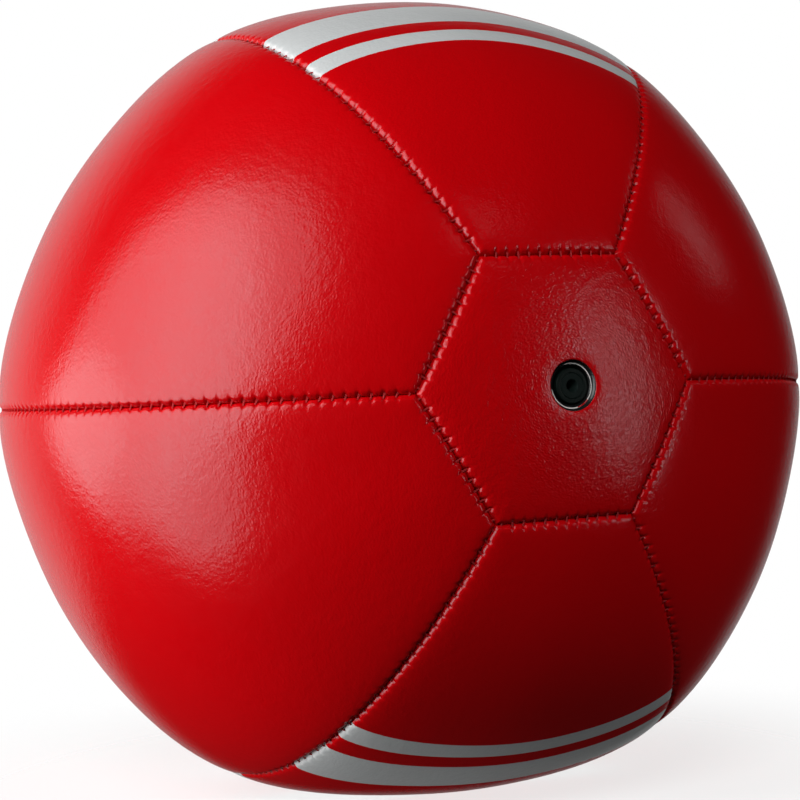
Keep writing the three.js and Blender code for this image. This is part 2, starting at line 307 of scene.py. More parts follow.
def endNet(front, profile, steps, rings, share, hole=None):
    net = Net()

    def endRound(count):              # the turn from each edge's middle, and the turn round the axis
        walk = (np.arange(count) / count - 0.5) * 2 * math.tan(sector / 2)
        turn = np.tile(np.arctan(walk), sides)
        return turn, topAngle + np.repeat(np.arange(sides), count) * sector + turn

    def ring(phi, radius, aside, *values):     # aside is the share of the hole's offset
        shift = aside * hole["offset"] if hole else 0.0
        theta, phi = besideAxis(shift + radius * np.cos(phi), radius * np.sin(phi))
        if front:
            return net.add(theta, phi, *values)
        return net.add(math.pi - theta, -phi, *values)

    turn, phi = endRound(steps * share)
    loops = []
    for inset, depth in profile:
        radius = (endApothem - inset) / np.cos(turn)
        along = radius * np.sin(turn) + ball["endCorner"] / 2
        pulled = stitching(along, ball["endCorner"], seam["endStitches"])
        loops.append(ring(phi, radius, 0.0, depth, inset, *pulled))
    for loop, following in zip(loops, loops[1:]):
        net.strip(loop, following)

    turn, phi = endRound(steps)
    edges = []
    for (inset, depth), loop, flip in ((profile[0], loops[0], False), (profile[-1], loops[-1], True)):
        inset = inset + panel["join"]
        outer = (endApothem - inset) / np.cos(turn)
        start = (hole["radius"] + (0 if flip else hole["lip"])) if hole else 0.0
        parts = (np.arange(0 if hole else 1, rings + 1) / rings) ** (hole["crowding"] if hole else 1)
        crown = []
        for part in parts:
            radius = start + part * (outer - start)
            sunk = hole["dip"] * np.exp((start - radius) / hole["reach"]) if hole and not flip else 0.0
            # the ring at the hole on the inner face is painted near black, as shade inside the hole
            rawEdgeAndPaintedLight = 1.0 if hole and flip and part == 0 else 0.0
            crown.append(ring(phi, radius, 1 - part, depth + sunk, inset, 0.0, 0.0, rawEdgeAndPaintedLight))
        for inside, outside in zip(crown, crown[1:]):
            net.strip(outside if flip else inside, inside if flip else outside)
        net.spread(crown[-1], loop, flip)
        edges.append(crown[0])
        if not hole:
            pole = net.add(0.0 if front else math.pi, 0.0, depth, inset)[0]
            net.fan(pole, crown[0], flip)
    if hole:
        rim = edges[0]
        for inwards, deeper, rawEdgeAndPaintedLight in hole["bend"]:
            radius = np.full_like(phi, hole["radius"] + hole["lip"] - inwards)
            depth = profile[0][1] + hole["dip"] + deeper
            bend = ring(phi, radius, 1.0, depth, panel["border"], 0.0, 0.0, rawEdgeAndPaintedLight)
            net.strip(bend, rim)
            rim = bend
        net.strip(edges[1], rim)
    return net


# Node tree helpers: a value is a socket or a plain number

def newNode(tree, kind, **settings):
    node = tree.nodes.new(kind)
    for key, value in settings.items():
        setattr(node, key, value)
    return node


def plug(tree, socket, value):
    if isinstance(value, bpy.types.NodeSocket):
        tree.links.new(value, socket)
    else:
        socket.default_value = value


def calc(tree, operation, *values):
    node = newNode(tree, "ShaderNodeMath", operation=operation)
    for socket, value in zip(node.inputs, values):
        plug(tree, socket, value)
    return node.outputs[0]


def newTree(name, inputs):
    tree = bpy.data.node_groups.new(name, "GeometryNodeTree")
    tree.is_modifier = True
    tree.interface.new_socket("Geometry", in_out="INPUT", socket_type="NodeSocketGeometry")
    for label, kind in inputs.items():
        tree.interface.new_socket(label, in_out="INPUT", socket_type="NodeSocket" + kind)
    tree.interface.new_socket("Geometry", in_out="OUTPUT", socket_type="NodeSocketGeometry")
    return tree, newNode(tree, "NodeGroupInput").outputs


def closeTree(tree, geometry, material):
    real = newNode(tree, "GeometryNodeRealizeInstances")
    tree.links.new(geometry, real.inputs["Geometry"])
    paint = newNode(tree, "GeometryNodeSetMaterial")
    tree.links.new(real.outputs[0], paint.inputs["Geometry"])
    tree.links.new(material, paint.inputs["Material"])
    tree.links.new(paint.outputs[0], newNode(tree, "NodeGroupOutput").inputs[0])


def attribute(tree, name, kind="FLOAT"):
    node = newNode(tree, "GeometryNodeInputNamedAttribute", data_type=kind)
    node.inputs["Name"].default_value = name
    return node.outputs["Attribute"]


def applyTree(piece, tree, values):   # runs the tree and keeps its plain mesh
    modifier = piece.modifiers.new(tree.name, "NODES")
    modifier.node_group = tree
    for item in tree.interface.items_tree:
        if item.in_out == "INPUT" and item.name in values:
            modifier[item.identifier] = values[item.name]
    graph = bpy.context.evaluated_depsgraph_get()
    plain = bpy.data.meshes.new_from_object(
        piece.evaluated_get(graph), preserve_all_data_layers=True, depsgraph=graph)
    piece.modifiers.clear()
    flat = piece.data
    piece.data = plain
    bpy.data.meshes.remove(flat)
    plain.name = piece.name


# The pull of the stitches on a panel: pinched notches, a soft shoulder and faint creases

pucker = {
    "Notch Depth": 0.68 * mm,
    "Notch Reach": 1.05 * mm,
    "Sharpness": 4.5,
    "Unevenness": 0.4,
    "Shoulder Depth": 0.38 * mm,
    "Shoulder Reach": 2.2 * mm,
    "Crease Height": 0.015 * mm,
    "Crease Reach": 2.5 * mm,
    "Wave Height": 0.12 * mm,
    "Wave Length": 22 * mm,
    "Seed": 7,
}


def puckerTree():
    inputs = {label: "Int" if label == "Seed" else "Float" for label in pucker}
    tree, given = newTree("sewnPanel", {**inputs, "Leather": "Material"})
    inset, stitch, pull = (attribute(tree, name) for name in ("inset", "stitch", "pull"))
    swing = calc(tree, "COSINE", calc(tree, "MULTIPLY", stitch, 2 * math.pi))
    pinch = calc(tree, "POWER", calc(tree, "MULTIPLY_ADD", swing, 0.5, 0.5), given["Sharpness"])
    chance = newNode(tree, "FunctionNodeRandomValue", data_type="FLOAT")
    tree.links.new(calc(tree, "ROUND", stitch), chance.inputs["ID"])
    tree.links.new(given["Seed"], chance.inputs["Seed"])
    uneven = calc(tree, "MULTIPLY", given["Unevenness"], calc(tree, "SUBTRACT", chance.outputs[1], 0.5))
    pinch = calc(tree, "MULTIPLY", calc(tree, "MULTIPLY", pinch, pull), calc(tree, "ADD", 1.0, uneven))
    near = calc(tree, "POWER", calc(tree, "DIVIDE", inset, given["Notch Reach"]), 2.0)
    notch = calc(tree, "MULTIPLY", calc(tree, "EXPONENT", calc(tree, "MULTIPLY", near, -1.0)), pinch)

    def fading(reach):
        scale = calc(tree, "MULTIPLY", given[reach], -1.0)
        return calc(tree, "EXPONENT", calc(tree, "DIVIDE", inset, scale))

    crease = calc(tree, "MULTIPLY", fading("Crease Reach"), pinch)
    wave = newNode(tree, "ShaderNodeTexNoise")
    tree.links.new(calc(tree, "DIVIDE", 1.0, given["Wave Length"]), wave.inputs["Scale"])
    wave.inputs["Detail"].default_value = 1.0
    level = calc(tree, "MULTIPLY", calc(tree, "SUBTRACT", wave.outputs[0], 0.5), given["Wave Height"])
    sinks = (
        (notch, "Notch Depth"),
        (crease, "Crease Height"),
        (fading("Shoulder Reach"), "Shoulder Depth"),
    )
    for share, height in sinks:
        level = calc(tree, "SUBTRACT", level, calc(tree, "MULTIPLY", share, given[height]))
    offset = newNode(tree, "ShaderNodeVectorMath", operation="SCALE")
    tree.links.new(attribute(tree, "outward", "FLOAT_VECTOR"), offset.inputs[0])
    tree.links.new(level, offset.inputs["Scale"])
    move = newNode(tree, "GeometryNodeSetPosition")
    tree.links.new(given["Geometry"], move.inputs["Geometry"])
    tree.links.new(offset.outputs[0], move.inputs["Offset"])
    closeTree(tree, move.outputs[0], given["Leather"])
    return tree


# Sewing thread: one forked stitch across the groove, repeated along a seam

stitchShape = {
    "Stitches": 13,
    "Half Width": 0.82 * mm,          # from the seam to where the thread goes into the leather
    "Fork": 0.15 * mm,
    "End Depth": 0.95 * mm,
    "Sag Depth": 0.85 * mm,           # of the bend that the thread leans towards
    "Thread": 0.24 * mm,              # diameter
    "Slant": -0.1,                    # radians, across the seam
    "Loose Turn": 0.14,               # of a stitch, either way
    "Seed": 3,
}
strandShape = {
    "sides": 5,
    "points": 4,
    "apart": 0.3,                     # of two strands in one hole, either way, in diameters
}


def stitchTree():
    inputs = {label: "Int" if label in ("Stitches", "Seed") else "Float" for label in stitchShape}
    tree, given = newTree("sewnSeam", {**inputs, "Thread Finish": "Material"})
    line = newNode(tree, "GeometryNodeMeshToCurve")
    tree.links.new(given["Geometry"], line.inputs[0])
    trim = newNode(tree, "GeometryNodeTrimCurve", mode="FACTOR")
    half = calc(tree, "DIVIDE", 0.5, given["Stitches"])
    tree.links.new(line.outputs[0], trim.inputs["Curve"])
    tree.links.new(half, trim.inputs["Start"])
    tree.links.new(calc(tree, "SUBTRACT", 1.0, half), trim.inputs["End"])
    spaced = newNode(tree, "GeometryNodeResampleCurve", mode="COUNT")
    tree.links.new(trim.outputs[0], spaced.inputs["Curve"])
    tree.links.new(given["Stitches"], spaced.inputs["Count"])

    low = calc(tree, "MULTIPLY", given["End Depth"], -1.0)
    sag = calc(tree, "MULTIPLY", given["Sag Depth"], -1.0)
    section = newNode(tree, "GeometryNodeCurvePrimitiveCircle", mode="RADIUS")
    section.inputs["Resolution"].default_value = strandShape["sides"]
    tree.links.new(calc(tree, "MULTIPLY", given["Thread"], 0.5), section.inputs["Radius"])
    both = newNode(tree, "GeometryNodeJoinGeometry")
    for way in (-1.0, 1.0):           # two strands share one hole and part towards the other edge
        strand = newNode(tree, "GeometryNodeCurveQuadraticBezier")
        strand.inputs["Resolution"].default_value = strandShape["points"]
        aside = calc(tree, "MULTIPLY", given["Fork"], way)
        near = calc(tree, "MULTIPLY", given["Thread"], way * strandShape["apart"])
        ends = (("Start", near, given["Half Width"], low),
                ("Middle", near, 0.0, sag),
                ("End", aside, calc(tree, "MULTIPLY", given["Half Width"], -1.0), low))
        for label, *place in ends:
            point = newNode(tree, "ShaderNodeCombineXYZ")
            for socket, value in zip(point.inputs, place):
                plug(tree, socket, value)
            tree.links.new(point.outputs[0], strand.inputs[label])
        tube = newNode(tree, "GeometryNodeCurveToMesh")
        tree.links.new(strand.outputs[0], tube.inputs["Curve"])
        tree.links.new(section.outputs[0], tube.inputs["Profile Curve"])
        tube.inputs["Fill Caps"].default_value = True
        tree.links.new(tube.outputs[0], both.inputs[0])

    aim = newNode(tree, "FunctionNodeAxesToRotation", primary_axis="Z", secondary_axis="X")
    tree.links.new(attribute(tree, "outward", "FLOAT_VECTOR"), aim.inputs[0])
    tree.links.new(newNode(tree, "GeometryNodeInputTangent").outputs[0], aim.inputs[1])
    chance = newNode(tree, "FunctionNodeRandomValue", data_type="FLOAT")
    tree.links.new(given["Seed"], chance.inputs["Seed"])
    either = calc(tree, "MULTIPLY_ADD", chance.outputs[1], 2.0, -1.0)
    loose = calc(tree, "MULTIPLY", either, given["Loose Turn"])
    spin = newNode(tree, "FunctionNodeAxisAngleToRotation")
    spin.inputs["Axis"].default_value = (0, 0, 1)
    tree.links.new(calc(tree, "ADD", loose, given["Slant"]), spin.inputs["Angle"])
    turn = newNode(tree, "FunctionNodeRotateRotation", rotation_space="LOCAL")
    tree.links.new(aim.outputs[0], turn.inputs[0])
    tree.links.new(spin.outputs[0], turn.inputs[1])
    sewn = newNode(tree, "GeometryNodeInstanceOnPoints")
    tree.links.new(spaced.outputs[0], sewn.inputs["Points"])
    tree.links.new(both.outputs[0], sewn.inputs["Instance"])
    tree.links.new(turn.outputs[0], sewn.inputs["Rotation"])
    closeTree(tree, sewn.outputs[0], given["Thread Finish"])
    return tree


def seamLine(name, theta, phi):       # an open line of points with the way out beside each
    points = coverPoint(theta, phi)
    mesh = bpy.data.meshes.new(name)
    mesh.from_pydata(points.tolist(), [(i, i + 1) for i in range(len(points) - 1)], [])
    layer = mesh.attributes.new("outward", "FLOAT_VECTOR", "POINT")
    layer.data.foreach_set("vector", outward(theta, phi).astype(np.float32).ravel())
    return newPiece(name, mesh)


# Finishes

def newMaterial(name):
    material = bpy.data.materials.new(name)
    material.use_nodes = True
    tree = material.node_tree
    return material, tree, tree.nodes["Principled BSDF"]


def objectPlace(tree):
    return newNode(tree, "ShaderNodeTexCoord").outputs["Object"]


def noise(tree, place, scale, detail):
    node = newNode(tree, "ShaderNodeTexNoise")
    tree.links.new(place, node.inputs["Vector"])
    node.inputs["Scale"].default_value = scale
    node.inputs["Detail"].default_value = detail
    return node.outputs[0]


def varied(tree, share, middle, spread):     # a share of 0 to 1 becomes a value round the middle
    return calc(tree, "MULTIPLY_ADD", share, spread, middle - spread / 2)


def blend(tree, share, first, second):
    node = newNode(tree, "ShaderNodeMix", data_type="RGBA")
    for socket, value in zip((node.inputs[0], node.inputs[6], node.inputs[7]), (share, first, second)):
        plug(tree, socket, value)
    return node.outputs[2]


def bump(tree, shader, height, strength, distance):
    node = newNode(tree, "ShaderNodeBump")
    node.inputs["Strength"].default_value = strength
    node.inputs["Distance"].default_value = distance
    tree.links.new(height, node.inputs["Height"])
    tree.links.new(node.outputs[0], shader.inputs["Normal"])


leather = {
    "red": (0.63, 0.0004, 0.003, 1),
    "deepRed": (0.58, 0.0003, 0.0025, 1),    # in clouds over the red
    "cloudScale": 38.0,
    "print": (0.66, 0.68, 0.68, 1),
    "hoops": ((0.0, 13 * mm), (48 * mm, 64 * mm), (70 * mm, 76 * mm)),   # either side of the waist
    "bleed": 0.1 * mm,                # a hoop starts this much earlier, so that the waist is white
    "edge": (0.95, 0.88, 0.86, 1),    # raw edge of a cut through the hide, painted pale, partly a painted highlight for glints round the hole
    # near black: dark foam in the hole's cut wall, partly painted shade inside the hole
    "foamAndPaintedShade": (0.012, 0.012, 0.012, 1),
    "edgeFrom": 0.42,                 # mask level where the pale edge and its painted glints show
    # mask level where near black shows: dark foam and painted shade
    "foamAndPaintedShadeFrom": 0.58,
    "fraying": 0.8,                   # unevenness of the raw edge and of its painted glints and shade
    "patchScale": 260.0,              # of the fraying and of duller patches
    "roughness": 0.205,
    "roughnessSpread": 0.08,
    "specular": 0.57,
    "pores": 0.3,                     # how much less the dimples shine
    "sheen": (0.25, 0.94, 1.0, 1),    # holds back red in the highlight under these lamps
    "plainSheen": (1, 1, 1, 1),       # on print, and on the raw edge with its painted glints and shade
    "grain": 0.65 * mm,               # size of the fine dimples
    "dimples": (0.8, 0.6),            # what the clouds add to their height, and its least share
    "waves": 2.3 * mm,
    "crinkle": 1.5,                   # height of the waves, in reliefs
    "relief": 0.044 * mm,
    "endRelief": 0.074 * mm,          # the end panels are drawn in from all sides
}


def roundTheBall(tree):               # metres from the valve, with the place beside the axis
    part = newNode(tree, "ShaderNodeSeparateXYZ")
    tree.links.new(objectPlace(tree), part.inputs[0])
    x, y, z = part.outputs
    reach = calc(tree, "SQRT", calc(tree, "MULTIPLY_ADD", x, x, calc(tree, "MULTIPLY", z, z)))
    theta = calc(tree, "ARCTAN2", reach, calc(tree, "MULTIPLY", y, -1.0))
    joined = newNode(tree, "ShaderNodeCombineXYZ")
    for socket, value in zip(joined.inputs, (calc(tree, "MULTIPLY", theta, meanRadius), x, z)):
        tree.links.new(value, socket)
    return joined.outputs[0]


def hoopMask(tree):                   # 1 on the printed hoops
    across = newNode(tree, "ShaderNodeSeparateXYZ")
    tree.links.new(newNode(tree, "ShaderNodeUVMap", uv_map="hide").outputs[0], across.inputs[0])
    away = calc(tree, "ABSOLUTE", across.outputs["Y"])
    mask = 0.0
    for start, end in leather["hoops"]:
        begun = calc(tree, "GREATER_THAN", away, start - leather["bleed"])
        inside = calc(tree, "MULTIPLY", begun, calc(tree, "LESS_THAN", away, end))
        mask = calc(tree, "MAXIMUM", mask, inside)
    return mask


def leatherMaterial(name, relief, printed=False):
    material, tree, shader = newMaterial(name)
    place = objectPlace(tree)
    cloud = noise(tree, place, leather["cloudScale"], 2.0)
    patch = noise(tree, place, leather["patchScale"], 1.0)
    wave = noise(tree, place, 1 / leather["waves"], 1.0)
    grain = noise(tree, roundTheBall(tree), 1 / leather["grain"], 0.6)
    colour = blend(tree, cloud, leather["deepRed"], leather["red"])
    sheen = leather["sheen"]
    if printed:
        white = hoopMask(tree)
        colour = blend(tree, white, colour, leather["print"])
        sheen = blend(tree, white, sheen, leather["plainSheen"])
    # The hole's cut is painted: pale where the raw edge stands in for glints (painted highlight), near
    # black where dark foam stands in for the shade inside the hole (painted shade).
    bareAndPaintedLight = newNode(tree, "ShaderNodeAttribute", attribute_name="bareAndPaintedLight").outputs["Fac"]
    frayedAndPaintedLight = calc(tree, "MULTIPLY_ADD", calc(tree, "SUBTRACT", patch, 0.5), leather["fraying"], bareAndPaintedLight)
    rawEdgeAndPaintedLight = calc(tree, "GREATER_THAN", frayedAndPaintedLight, leather["edgeFrom"])
    colour = blend(tree, rawEdgeAndPaintedLight, colour, leather["edge"])
    sheen = blend(tree, rawEdgeAndPaintedLight, sheen, leather["plainSheen"])
    colour = blend(tree, calc(tree, "GREATER_THAN", frayedAndPaintedLight, leather["foamAndPaintedShadeFrom"]), colour, leather["foamAndPaintedShade"])
    rough = varied(tree, patch, leather["roughness"], leather["roughnessSpread"])
    shine = varied(tree, grain, leather["specular"], leather["pores"])
    looks = {
        "Base Color": colour,
        "Roughness": rough,
        "Specular IOR Level": shine,
        "Specular Tint": sheen,
    }
    for label, value in looks.items():
        tree.links.new(value, shader.inputs[label])
    dimples = calc(tree, "MULTIPLY", grain, calc(tree, "MULTIPLY_ADD", cloud, *leather["dimples"]))
    bump(tree, shader, calc(tree, "MULTIPLY_ADD", wave, leather["crinkle"], dimples), 1.0, relief)
    return material


waxedThread = {
    "dark": (0.34, 0.009, 0.011, 1),
    "pale": (0.52, 0.03, 0.034, 1),
    "plyScale": 2600.0,
    "roughness": 0.55,
    "specular": 0.35,
    "bump": (0.25, 0.06 * mm),        # strength and height
}


def threadMaterial():
    material, tree, shader = newMaterial("waxedThread")
    ply = noise(tree, objectPlace(tree), waxedThread["plyScale"], 2.0)
    colour = blend(tree, ply, waxedThread["dark"], waxedThread["pale"])
    tree.links.new(colour, shader.inputs["Base Color"])
    shader.inputs["Roughness"].default_value = waxedThread["roughness"]
    shader.inputs["Specular IOR Level"].default_value = waxedThread["specular"]
    bump(tree, shader, ply, *waxedThread["bump"])
    return material


cloth = {
    "dark": (0.42, 0.38, 0.31, 1),
    "pale": (0.68, 0.64, 0.55, 1),
    "yarnScale": 420.0,
    "distortion": 0.6,
    "roughness": 0.9,
    "bump": (0.5, 0.2 * mm),
}


def clothMaterial():
    material, tree, shader = newMaterial("liningCloth")
    weave = 1.0
    for way in ("X", "Z"):
        yarns = newNode(tree, "ShaderNodeTexWave", bands_direction=way)
        tree.links.new(objectPlace(tree), yarns.inputs["Vector"])
        yarns.inputs["Scale"].default_value = cloth["yarnScale"]
        yarns.inputs["Distortion"].default_value = cloth["distortion"]
        weave = calc(tree, "MULTIPLY", weave, yarns.outputs["Fac"])
    tree.links.new(blend(tree, weave, cloth["dark"], cloth["pale"]), shader.inputs["Base Color"])
    shader.inputs["Roughness"].default_value = cloth["roughness"]
    bump(tree, shader, weave, *cloth["bump"])
    return material


rubbers = {
    "bladder": {"dark": (0.012, 0.012, 0.013, 1), "pale": (0.03, 0.03, 0.032, 1),
                "roughness": 0.6, "speckScale": 300.0},
    "valve": {"dark": (0.003, 0.006, 0.005, 1), "pale": (0.006, 0.011, 0.009, 1),
              "roughness": 0.4, "speckScale": 900.0},
    "core": {"dark": (0.004, 0.008, 0.007, 1), "pale": (0.008, 0.014, 0.012, 1),
             "roughness": 0.5, "speckScale": 900.0},
}
rubberSurface = {"roughnessSpread": 0.2, "specular": 0.15, "bump": (0.15, 0.05 * mm)}


def rubberMaterial(name, rubber):
    material, tree, shader = newMaterial(name)
    speck = noise(tree, objectPlace(tree), rubber["speckScale"], 4.0)
    tree.links.new(blend(tree, speck, rubber["dark"], rubber["pale"]), shader.inputs["Base Color"])
    rough = varied(tree, speck, rubber["roughness"], rubberSurface["roughnessSpread"])
    tree.links.new(rough, shader.inputs["Roughness"])
    shader.inputs["Specular IOR Level"].default_value = rubberSurface["specular"]
    bump(tree, shader, speck, *rubberSurface["bump"])
    return material


finish = {
    "plain": leatherMaterial("redLeather", leather["relief"]),
    "printed": leatherMaterial("printedLeather", leather["relief"], printed=True),
    "end": leatherMaterial("endLeather", leather["endRelief"]),
    "thread": threadMaterial(),
    "cloth": clothMaterial(),
    **{name: rubberMaterial(f"{name}Rubber", rubber) for name, rubber in rubbers.items()},
}
print("finishes made:", len(finish))


def stand(piece, node):         # every piece stands for one node of the frame
    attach(piece, "root")
    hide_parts(node)


def clad(piece, node, material):
    piece.data.materials.append(material)
    stand(piece, node)


# Cover

valveHole = {
    "radius": 5.5 * mm,
    "lip": 0.75 * mm,                 # width of the bent edge round the hole
    "dip": 0.15 * mm,                 # the leather sinks towards the hole
    "reach": 0.9 * mm,
    "offset": 2.0 * mm,               # from the panel's middle
    "crowding": 1.5,                  # of the rings, towards the hole
    "bend": (                         # inwards from the lip's start, depth, and the mask for the raw edge, its painted glints and painted shade
        (0.12 * mm, 0.015 * mm, 0.0),
        (0.23 * mm, 0.06 * mm, 0.0),
        (0.32 * mm, 0.13 * mm, 0.0),
        (0.34 * mm, 0.16 * mm, 1.0),
        (0.5 * mm, 0.95 * mm, 1.0),
        (0.9 * mm, 1.14 * mm, 1.0),
        (0.92 * mm, 1.15 * mm, 0.52),
        (1.16 * mm, 1.19 * mm, 0.52),
        (1.18 * mm, 1.2 * mm, 1.0),
        (1.8 * mm, 1.45 * mm, 1.0),
    ),
}
printedPlaces = (0, 3)                # top and bottom panels
profile = edgeProfile()
sewnPanel = puckerTree()

for k in range(sides):
    piece = sideNet(k, profile, panel["across"], panel["along"], panel["share"]).make(f"sidePanel{k + 1}")
    hide = finish["printed" if k in printedPlaces else "plain"]
    applyTree(piece, sewnPanel, {**pucker, "Seed": pucker["Seed"] + k, "Leather": hide})
    stand(piece, f"side_panel_{k + 1}")
for name, node, hole in (("valvePanel", "valve_panel", valveHole), ("backPanel", "back_panel", None)):
    front = hole is not None
    piece = endNet(front, profile, panel["edgeSteps"], panel["rings"], panel["share"], hole).make(name)
    applyTree(piece, sewnPanel, {**pucker, "Leather": finish["end"]})
    stand(piece, node)
print("cover sewn")


# Thread

sewnSeam = stitchTree()
sideSlant = -0.4
threadSeeds = {"side": 10, "valve": 20, "back": 30}


def sewSeam(name, node, theta, phi, stitches, seed, slant):
    piece = seamLine(name, theta, phi)
    applyTree(piece, sewnSeam, {**stitchShape, "Stitches": stitches, "Slant": slant, "Seed": seed,
                                "Thread Finish": finish["thread"]})
    stand(piece, node)


for k in range(sides):
    theta, phi = sideSeamAngles(k)
    sewSeam(f"sideStitches{k + 1}", f"side_thread_{k + 1}", theta, np.full_like(theta, phi),
            seam["sideStitches"], threadSeeds["side"] + k, sideSlant)
    walk = np.linspace(-1, 1, seam["samples"]) * math.tan(sector / 2)
    phi = topAngle + k * sector + np.arctan(walk)
    theta = thetaAt(endApothem * np.hypot(1, walk), phi)
    for end, angles in (("valve", (theta, phi)), ("back", (math.pi - theta, -phi))):
        sewSeam(f"{end}PanelStitches{k + 1}", f"{end}_panel_thread_{k + 1}", *angles,
                seam["endStitches"], threadSeeds[end] + k, stitchShape["Slant"])
print("seams stitched")


# Cloth lining behind each panel

lining = {
    "top": 2.1 * mm,                  # depth of its upper face
    "bottom": 3.1 * mm,
    "inset": 2.2 * mm,                # from the seams
    "hole": 7.0 * mm,
    "across": 16,
    "along": 40,
    "edgeSteps": 6,
    "rings": 8,
}
liningHole = {**valveHole, "radius": lining["hole"], "lip": 0.0, "dip": 0.0, "bend": ()}
hem = [(lining["inset"], lining["top"]), (lining["inset"], lining["bottom"])]
for k in range(sides):
    piece = sideNet(k, hem, lining["across"], lining["along"], 1).make(f"sideLining{k + 1}")
    clad(piece, f"side_lining_{k + 1}", finish["cloth"])
for end, hole in (("valve", liningHole), ("back", None)):
    net = endNet(hole is not None, hem, lining["edgeSteps"], lining["rings"], 1, hole)
    clad(net.make(f"{end}PanelLining"), f"{end}_panel_lining", finish["cloth"])


# Bladder, with the hole that the valve's barrel fills

bladder = {
    "depth": 4.9 * mm,
    "wall": 0.7 * mm,
    "hole": 4.2 * mm,
    "shoulder": 14 * mm,              # from here on its rings lie round the axis
    "facets": 72,
    "rings": 40,
}


def bladderNet():
    net = Net()
    phi = np.arange(bladder["facets"]) / bladder["facets"] * 2 * math.pi
    start = thetaAt(np.full_like(phi, bladder["shoulder"]), phi)
    neck = besideAxis(valveHole["offset"] + bladder["hole"] * np.cos(phi), bladder["hole"] * np.sin(phi))
    walls = []
    for depth, flip in ((bladder["depth"], False), (bladder["depth"] + bladder["wall"], True)):
        shares = np.arange(bladder["rings"]) / bladder["rings"]
        rings = [net.add(*neck, depth, 0.0)]
        rings += [net.add(start + share * (math.pi - start), phi, depth, 0.0) for share in shares]
        for ahead, behind in zip(rings, rings[1:]):
            net.strip(behind if flip else ahead, ahead if flip else behind)
        net.fan(net.add(math.pi, 0.0, depth, 0.0)[0], rings[-1], not flip)
        walls.append(rings[0])
    net.strip(walls[1], walls[0])
    return net


clad(bladderNet().make("bladder"), "bladder", finish["bladder"])
print("lining and bladder made")


# Valve: turned outlines of radius and height, with some corners rounded

valve = {
    "crown": 164 * mm,                # radius of the end panel's curve, on which the valve sits aside
    "face": ball["poleHeight"] - 1.1 * mm,
    "collar": 4.1 * mm,               # radii from here
    "seat": 3.0 * mm,
    "bore": 2.4 * mm,
    "barrel": 3.8 * mm,
    "flange": 14.0 * mm,
    "head": 2.92 * mm,
    "shank": 2.1 * mm,
    "tip": 1.4 * mm,
    "mouth": 1.45 * mm,
    "throat": 1.25 * mm,
    "channel": 0.8 * mm,
    "seatDepth": 1.5 * mm,            # heights from here
    "headThickness": 1.2 * mm,
    "flangeTop": ball["poleHeight"] - 3.4 * mm,
    "flangeBottom": ball["poleHeight"] - 4.2 * mm,
    "barrelEnd": ball["poleHeight"] - 17.0 * mm,
    "tipEnd": ball["poleHeight"] - 20.0 * mm,
    "throatDepth": 1.0 * mm,
    "funnel": 1.6 * mm,
    "channelDepth": 9.0 * mm,
    "collarRounding": 0.3 * mm,
    "mouthRounding": 0.15 * mm,
    "edgeRounding": 0.1 * mm,
    "roundingPoints": 5,
    "segments": 64,
}


def rounded(outline):                 # corners are (radius, height) or (radius, height, rounding)
    points = []
    for i, (r, h, *rounding) in enumerate(outline):
        corner = Vector((r, h))
        if not rounding:
            points.append(corner)
            continue
        before = Vector(outline[i - 1][:2]) - corner
        after = Vector(outline[(i + 1) % len(outline)][:2]) - corner
        start, end = (corner + way.normalized() * rounding[0] for way in (before, after))
        for t in np.linspace(0, 1, valve["roundingPoints"]):
            points.append(start.lerp(corner, t).lerp(corner.lerp(end, t), t))
    return points


def turned(name, outline):
    points = rounded(outline)
    count = valve["segments"]
    angles = np.arange(count) / count * 2 * math.pi
    base = ball["poleHeight"] - valve["crown"]
    aside = Matrix.Rotation(math.asin(valveHole["offset"] / valve["crown"]), 3, "Z")
    spots, loops, faces = [], [], []
    for point in points:
        start = len(spots)
        turns = angles if point.x > 0 else angles[:1]
        for a in turns:
            spot = aside @ Vector((point.x * math.cos(a), base - point.y, point.x * math.sin(a)))
            spots.append(spot - Vector((0, base, 0)))
        loops.append([start + i % len(turns) for i in range(count + 1)])
    closed = points[0].x > 0
    for loop, following in zip(loops, loops[1:] + loops[:1] * closed):
        for i in range(count):
            face = [loop[i], following[i], following[i + 1], loop[i + 1]]
            faces.append(list(dict.fromkeys(face)))
    mesh = bpy.data.meshes.new(name)
    mesh.from_pydata(spots, [], faces)
    return newPiece(name, mesh)


def valveBody():
    v = valve
    return turned("valveBody", [
        (v["bore"], v["face"] - v["seatDepth"]), (v["seat"], v["face"] - v["seatDepth"]),
        (v["seat"], v["face"], v["edgeRounding"]), (v["collar"], v["face"], v["collarRounding"]),
        (v["collar"], v["flangeTop"]), (v["flange"], v["flangeTop"]), (v["flange"], v["flangeBottom"]),
        (v["barrel"], v["flangeBottom"]), (v["barrel"], v["barrelEnd"]), (v["bore"], v["barrelEnd"])])


def valveCore():
    v = valve
    underHead = v["face"] - v["headThickness"]
    return turned("valveCore", [
        (0, v["face"] - v["channelDepth"]), (v["channel"], v["face"] - v["channelDepth"]),
        (v["channel"], v["face"] - v["funnel"]), (v["throat"], v["face"] - v["throatDepth"]),
        (v["mouth"], v["face"], v["mouthRounding"]), (v["head"], v["face"], v["edgeRounding"]),
        (v["head"], underHead), (v["shank"], underHead), (v["shank"], v["barrelEnd"]),
        (v["tip"], v["tipEnd"]), (0, v["tipEnd"])])


clad(valveBody(), "valve_body", finish["valve"])
clad(valveCore(), "valve_core", finish["core"])
print("valve made")


# Studio

camera = {
    "azimuth": math.radians(-22.68),
    "elevation": math.radians(-1.59),
    "roll": math.radians(-1.89),
    "distance": 0.4494,
    "lens": 71.74,
    "sensor": 36.0,
    "shift": (-0.00722, 0.00217),
    "near": 0.01,
}


